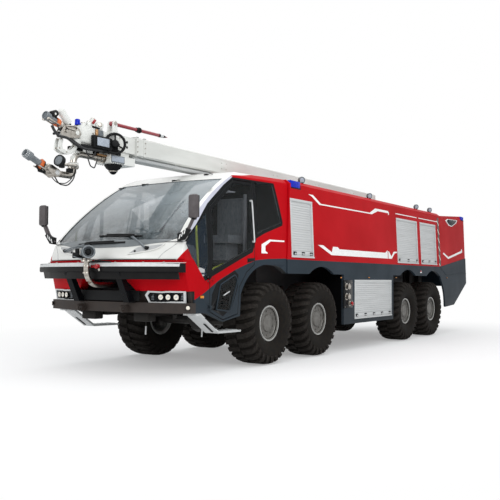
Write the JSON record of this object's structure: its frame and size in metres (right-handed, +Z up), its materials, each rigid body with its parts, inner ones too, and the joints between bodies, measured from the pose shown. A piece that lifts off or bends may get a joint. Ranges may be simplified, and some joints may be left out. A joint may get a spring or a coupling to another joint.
{
  "type": "airport fire truck",
  "caption": "Wheeled airport fire truck with a glazed cab, red body, roller shutters, a front monitor and a high-reach boom with a nozzle head.",
  "frame": {"origin": "on the ground, at the middle of the whole vehicle's length and width with the boom stowed", "axes": "+X to the vehicle's left, -Y towards the front, +Z up"},
  "size_m": [3.33, 14.5974, 3.812],
  "materials": {
    "tyre_rubber": "moulded rubber, matt, with lugs",
    "rim_silver": "silver enamel on pressed steel",
    "chassis_black": "black chassis paint",
    "window_glass": "tinted laminated glass",
    "cab_paint": "gloss red over slate grey",
    "red_paint": "gloss red enamel",
    "red_body": "glass-fibre panels in gloss red with white stripes",
    "white_paint": "gloss white enamel",
    "grey_body": "glass-fibre panels in slate grey",
    "shutter_aluminium": "satin anodised slats",
    "black_plastic": "moulded black plastic and black powder coat",
    "tank_plastic": "black moulded tank plastic",
    "lamp_housing": "black housing with clear lenses",
    "blue_lens": "transparent blue lens",
    "polished_steel": "brushed stainless steel",
    "cast_iron": "painted casting",
    "monitor_black": "black anodised monitor body",
    "cabin_plastic": "grained dark grey moulding",
    "lance_red": "red enamel with a bare steel tip",
    "chromed_rod": "hard chrome",
    "boom_white": "gloss white enamel"
  },
  "bodies": {
    "root": {"axle_beams": "chassis_black", "beacons": "blue_lens", "body_skirts": "grey_body", "bumper_bar": "black_plastic", "cab_glass": "window_glass", "cab_interior": "cabin_plastic", "cab_shell": "cab_paint", "chassis_frame": "chassis_black", "cross_members": "chassis_black", "engine_block": "cast_iron", "entry_steps": "polished_steel", "front_bumper": "black_plastic", "front_fascia": "red_paint", "front_hood": "white_paint", "headlights": "lamp_housing", "hose_outlets": "polished_steel", "mirrors": "black_plastic", "monitor_pipe": "polished_steel", "rear_housing": "red_body", "rear_tail": "grey_body", "roller_shutters": "shutter_aluminium", "roof_lamps": "lamp_housing", "tank_base": "tank_plastic", "upper_body": "red_body"},
    "door_left": {"door_left": "cab_paint", "door_glass_left": "window_glass"},
    "door_right": {"door_right": "cab_paint", "door_glass_right": "window_glass"},
    "turntable": {"turntable": "boom_white"},
    "lift_barrel": {"lift_barrel": "boom_white"},
    "lift_rod": {"lift_rod": "chromed_rod"},
    "boom": {"boom_outer": "boom_white", "boom_fittings": "boom_white"},
    "boom_extension": {"boom_inner": "boom_white", "boom_head": "boom_white"},
    "lance": {"piercing_lance": "lance_red"},
    "head_monitor": {"head_monitor": "boom_white"},
    "head_nozzle": {"head_nozzle": "boom_white"},
    "monitor_swivel": {"monitor_swivel": "monitor_black"},
    "monitor_nozzle": {"monitor_nozzle": "monitor_black"},
    "wheel_1_left": {"tyre_1_left": "tyre_rubber", "rim_1_left": "rim_silver"},
    "knuckle_1_left": {"knuckle_1_left": "chassis_black"},
    "wheel_1_right": {"tyre_1_right": "tyre_rubber", "rim_1_right": "rim_silver"},
    "knuckle_1_right": {"knuckle_1_right": "chassis_black"},
    "wheel_2_left": {"tyre_2_left": "tyre_rubber", "rim_2_left": "rim_silver"},
    "knuckle_2_left": {"knuckle_2_left": "chassis_black"},
    "wheel_2_right": {"tyre_2_right": "tyre_rubber", "rim_2_right": "rim_silver"},
    "knuckle_2_right": {"knuckle_2_right": "chassis_black"},
    "wheel_3_left": {"tyre_3_left": "tyre_rubber", "rim_3_left": "rim_silver"},
    "wheel_3_right": {"tyre_3_right": "tyre_rubber", "rim_3_right": "rim_silver"},
    "wheel_4_left": {"tyre_4_left": "tyre_rubber", "rim_4_left": "rim_silver"},
    "wheel_4_right": {"tyre_4_right": "tyre_rubber", "rim_4_right": "rim_silver"}
  },
  "joints": [
    {"name": "steer_1_left", "type": "hinge", "parent": "root", "child": "knuckle_1_left", "pos_m": [0.985, -3.2913, 0.69], "axis": [0, 0, 1], "range_deg": [-28, 28]},
    {"name": "roll_1_left", "type": "hinge", "parent": "knuckle_1_left", "child": "wheel_1_left", "pos_m": [1.19, -3.2913, 0.69], "axis": [1, 0, 0], "continuous": true},
    {"name": "steer_1_right", "type": "hinge", "parent": "root", "child": "knuckle_1_right", "pos_m": [-0.985, -3.2913, 0.69], "axis": [0, 0, 1], "range_deg": [-28, 28]},
    {"name": "roll_1_right", "type": "hinge", "parent": "knuckle_1_right", "child": "wheel_1_right", "pos_m": [-1.19, -3.2913, 0.69], "axis": [1, 0, 0], "continuous": true},
    {"name": "steer_2_left", "type": "hinge", "parent": "root", "child": "knuckle_2_left", "pos_m": [0.985, -1.5613, 0.69], "axis": [0, 0, 1], "range_deg": [-19.1, 19.1]},
    {"name": "roll_2_left", "type": "hinge", "parent": "knuckle_2_left", "child": "wheel_2_left", "pos_m": [1.19, -1.5613, 0.69], "axis": [1, 0, 0], "continuous": true},
    {"name": "steer_2_right", "type": "hinge", "parent": "root", "child": "knuckle_2_right", "pos_m": [-0.985, -1.5613, 0.69], "axis": [0, 0, 1], "range_deg": [-19.1, 19.1]},
    {"name": "roll_2_right", "type": "hinge", "parent": "knuckle_2_right", "child": "wheel_2_right", "pos_m": [-1.19, -1.5613, 0.69], "axis": [1, 0, 0], "continuous": true},
    {"name": "roll_3_left", "type": "hinge", "parent": "root", "child": "wheel_3_left", "pos_m": [1.19, 2.7887, 0.69], "axis": [1, 0, 0], "continuous": true},
    {"name": "roll_3_right", "type": "hinge", "parent": "root", "child": "wheel_3_right", "pos_m": [-1.19, 2.7887, 0.69], "axis": [1, 0, 0], "continuous": true},
    {"name": "roll_4_left", "type": "hinge", "parent": "root", "child": "wheel_4_left", "pos_m": [1.19, 4.5187, 0.69], "axis": [1, 0, 0], "continuous": true},
    {"name": "roll_4_right", "type": "hinge", "parent": "root", "child": "wheel_4_right", "pos_m": [-1.19, 4.5187, 0.69], "axis": [1, 0, 0], "continuous": true},
    {"name": "door_left_swing", "type": "hinge", "parent": "root", "child": "door_left", "pos_m": [1.442, -4.9943, 1.5], "axis": [0, 0, -1], "range_deg": [0, 75]},
    {"name": "door_right_swing", "type": "hinge", "parent": "root", "child": "door_right", "pos_m": [-1.442, -4.9943, 1.5], "axis": [0, 0, 1], "range_deg": [0, 75]},
    {"name": "boom_slew", "type": "hinge", "parent": "root", "child": "turntable", "pos_m": [0, 3.5587, 3.06], "axis": [0, 0, 1], "range_deg": [-30, 30]},
    {"name": "boom_lift", "type": "hinge", "parent": "turntable", "child": "boom", "pos_m": [0, 3.7087, 3.5], "axis": [-1, 0, 0], "range_deg": [0, 60]},
    {"name": "lift_barrel_swing", "type": "hinge", "parent": "turntable", "child": "lift_barrel", "pos_m": [0, 3.0087, 3.145], "axis": [-1, 0, 0], "range_deg": [0, 69.72]},
    {"name": "lift_rod_slide", "type": "slide", "parent": "lift_barrel", "child": "lift_rod", "axis": [0, -0.995, 0.0995], "range_m": [0, 0.7289]},
    {"name": "boom_extend", "type": "slide", "parent": "boom", "child": "boom_extension", "axis": [0, -1, 0], "range_m": [0, 4.5]},
    {"name": "lance_swing", "type": "hinge", "parent": "boom_extension", "child": "lance", "pos_m": [0.14, -5.7613, 3.77], "axis": [1, 0, 0], "range_deg": [0, 165]},
    {"name": "head_monitor_turn", "type": "hinge", "parent": "boom_extension", "child": "head_monitor", "pos_m": [0, -6.4013, 3.06], "axis": [0, 0, 1], "range_deg": [-90, 90]},
    {"name": "head_nozzle_tilt", "type": "hinge", "parent": "head_monitor", "child": "head_nozzle", "pos_m": [0, -6.7713, 2.905], "axis": [-1, 0, 0], "range_deg": [-70, 35]},
    {"name": "monitor_turn", "type": "hinge", "parent": "root", "child": "monitor_swivel", "pos_m": [0.06, -6.1713, 1.7], "axis": [0, 0, 1], "range_deg": [-140, 40]},
    {"name": "monitor_tilt", "type": "hinge", "parent": "monitor_swivel", "child": "monitor_nozzle", "pos_m": [0.06, -6.1713, 1.805], "axis": [-0.6428, -0.766, 0], "range_deg": [-15, 60]}
  ],
  "couplings": [
    {"joint": "steer_1_right", "follows": "steer_1_left", "ratio": 1},
    {"joint": "steer_2_left", "follows": "steer_1_left", "ratio": 0.68},
    {"joint": "steer_2_right", "follows": "steer_1_left", "ratio": 0.68},
    {"joint": "lift_barrel_swing", "follows": "boom_lift", "ratio": 1.1586},
    {"joint": "lift_rod_slide", "follows": "boom_lift", "m_per_rad": 0.69414}
  ]
}
